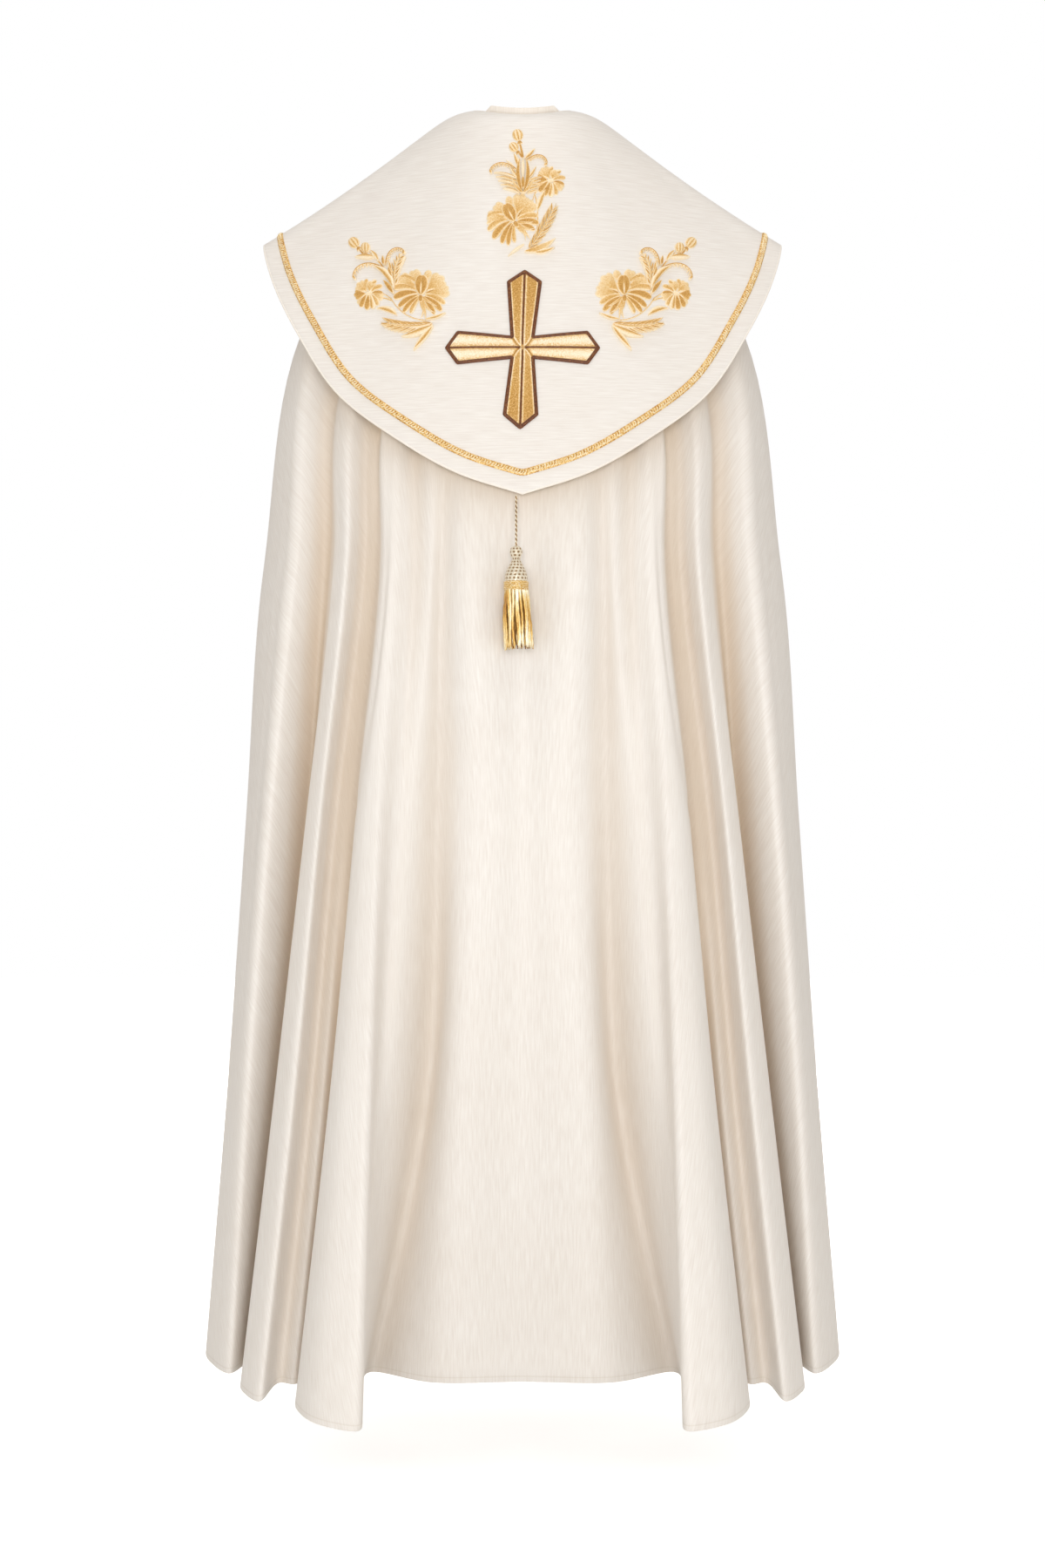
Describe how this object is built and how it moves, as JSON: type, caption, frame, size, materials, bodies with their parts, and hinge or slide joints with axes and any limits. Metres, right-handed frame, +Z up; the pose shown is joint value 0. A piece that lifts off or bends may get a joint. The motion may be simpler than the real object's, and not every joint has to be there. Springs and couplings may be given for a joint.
{
  "type": "cope vestment in worn form, closed at the chest, with a hood and tassel",
  "caption": "Hollow worn cope: folded floor-length cloak, shield-shaped hood with braid edge, raised cross and a tassel at its tip.",
  "frame": {"origin": "centre of the neck opening at the level where the cope rests on the wearer's shoulders", "axes": "+Z up, -Y the side that the back of the cope faces, +Y the wearer's front, +X to the right seen from behind"},
  "size_m": [0.721, 0.621, 1.4351],
  "materials": {
    "cloak_cloth": "ivory satin-faced weave with fine slubs",
    "hood_cloth": "ivory satin-faced weave over a stiff backing",
    "gold_braid": "gold thread braid",
    "cross_embroidery": "padded gold satin stitch with a brown outline",
    "tassel_cord": "twisted gold and brown cord",
    "tassel_thread": "twisted gold threads under a pale netted head"
  },
  "bodies": {
    "root": {"cloak": "cloak_cloth", "hood": "hood_cloth", "hood_braid": "gold_braid", "cross": "cross_embroidery", "neckband": "cloak_cloth", "closing_tab": "hood_cloth", "tassel_cord": "tassel_cord", "tassel": "tassel_thread"}
  },
  "joints": []
}
